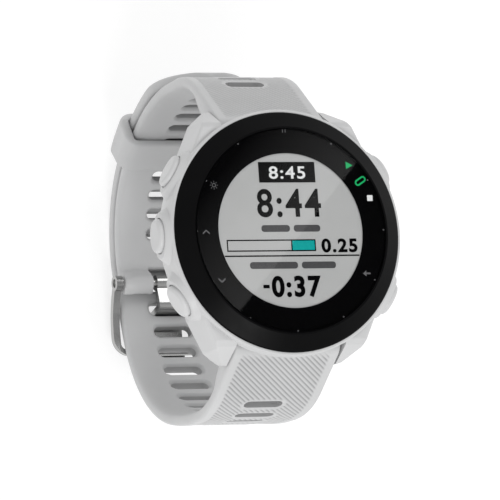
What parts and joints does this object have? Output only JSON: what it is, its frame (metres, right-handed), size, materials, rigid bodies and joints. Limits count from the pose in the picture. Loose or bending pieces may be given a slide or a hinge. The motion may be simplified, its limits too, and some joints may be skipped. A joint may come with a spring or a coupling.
{
  "type": "gps running watch",
  "caption": "Round running watch with side buttons and a slotted silicone strap, buckled into its wrist loop.",
  "frame": {"origin": "centre of the flat sensor window on the case back, the face that rests on the wrist", "axes": "+X is 3 o'clock, +Y is 12 o'clock, +Z leaves the face"},
  "size_m": [0.0437, 0.0615, 0.0601],
  "materials": {
    "case_polymer": "fine moulded matte, light cool grey",
    "button_polymer": "smooth satin, light grey",
    "bezel_black": "satin black",
    "lens": "polished, clear",
    "display": "reflective grey panel behind the lens",
    "strap_silicone": "matte silicone, light grey",
    "buckle_steel": "polished stainless steel",
    "screw_steel": "turned steel",
    "back_polymer": "matte, light grey",
    "sensor_dark": "dark polished window",
    "contact_gold": "gold-plated",
    "circuit_green": "solder mask",
    "chassis_black": "moulded black",
    "cell_foil": "foil pouch",
    "can_metal": "pressed tin-plated sheet",
    "flex_amber": "polyimide film",
    "seal_rubber": "black nitrile",
    "antenna_metal": "plated strip",
    "piezo_brass": "brass disc"
  },
  "bodies": {
    "watch": {"mid_case": "case_polymer", "bezel_ring": "bezel_black", "lens_glass": "lens", "lens_adhesive": "seal_rubber", "bezel_gasket": "seal_rubber", "display_module": "display", "backlight": "chassis_black", "back_cover": "back_polymer", "back_gasket": "seal_rubber", "back_screws": "screw_steel", "sensor_window": "sensor_dark", "sensor_board": "circuit_green", "sensor_emitters": "contact_gold", "charging_contacts": "contact_gold", "beeper_disc": "piezo_brass", "battery": "cell_foil", "vibration_motor": "can_metal", "inner_chassis": "chassis_black", "main_board": "circuit_green", "board_screws": "screw_steel", "shield_can": "can_metal", "antenna_ring": "antenna_metal", "display_flex": "flex_amber", "switch_flex": "flex_amber", "tact_switches": "can_metal", "button_bushes": "screw_steel", "button_seals": "seal_rubber", "upper_strap": "strap_silicone", "lower_strap": "strap_silicone", "buckle_bar": "buckle_steel", "release_tube_upper": "screw_steel", "release_tube_lower": "screw_steel"},
    "keeper": {"keeper": "strap_silicone"},
    "buckle": {"buckle_frame": "buckle_steel"},
    "tang": {"buckle_tang": "buckle_steel"},
    "release_upper": {"release_pin_upper": "screw_steel"},
    "release_lower": {"release_pin_lower": "screw_steel"},
    "button_light": {"button_light": "button_polymer", "clip_light": "screw_steel"},
    "button_up": {"button_up": "button_polymer", "clip_up": "screw_steel"},
    "button_down": {"button_down": "button_polymer", "clip_down": "screw_steel"},
    "button_start": {"button_start": "button_polymer", "clip_start": "screw_steel"},
    "button_back": {"button_back": "button_polymer", "clip_back": "screw_steel"}
  },
  "joints": [
    {"name": "press_light", "type": "slide", "parent": "watch", "child": "button_light", "axis": [0.866, -0.5, 0], "range_m": [0, 0.0006], "stiffness_N_per_m": 3000, "springref_m": -0.0002},
    {"name": "press_up", "type": "slide", "parent": "watch", "child": "button_up", "axis": [1, 0, 0], "range_m": [0, 0.0006], "stiffness_N_per_m": 3000, "springref_m": -0.0002},
    {"name": "press_down", "type": "slide", "parent": "watch", "child": "button_down", "axis": [0.866, 0.5, 0], "range_m": [0, 0.0006], "stiffness_N_per_m": 3000, "springref_m": -0.0002},
    {"name": "press_start", "type": "slide", "parent": "watch", "child": "button_start", "axis": [-0.866, -0.5, 0], "range_m": [0, 0.0006], "stiffness_N_per_m": 3000, "springref_m": -0.0002},
    {"name": "press_back", "type": "slide", "parent": "watch", "child": "button_back", "axis": [-0.866, 0.5, 0], "range_m": [0, 0.0006], "stiffness_N_per_m": 3000, "springref_m": -0.0002},
    {"name": "release_upper_slide", "type": "slide", "parent": "watch", "child": "release_upper", "axis": [-1, 0, 0], "range_m": [0, 0.0015], "stiffness_N_per_m": 1200, "springref_m": -0.0005},
    {"name": "release_lower_slide", "type": "slide", "parent": "watch", "child": "release_lower", "axis": [-1, 0, 0], "range_m": [0, 0.0015], "stiffness_N_per_m": 1200, "springref_m": -0.0005},
    {"name": "keeper_slide", "type": "hinge", "parent": "watch", "child": "keeper", "pos_m": [0, -0.00224, -0.01633], "axis": [1, 0, 0], "range_deg": [-5, 18]},
    {"name": "buckle_swing", "type": "hinge", "parent": "watch", "child": "buckle", "pos_m": [0, -0.00044, -0.04303], "axis": [1, 0, 0], "range_deg": [0, 10]},
    {"name": "tang_swing", "type": "hinge", "parent": "buckle", "child": "tang", "pos_m": [0, -0.00044, -0.04303], "axis": [1, 0, 0], "range_deg": [0, 8]}
  ]
}
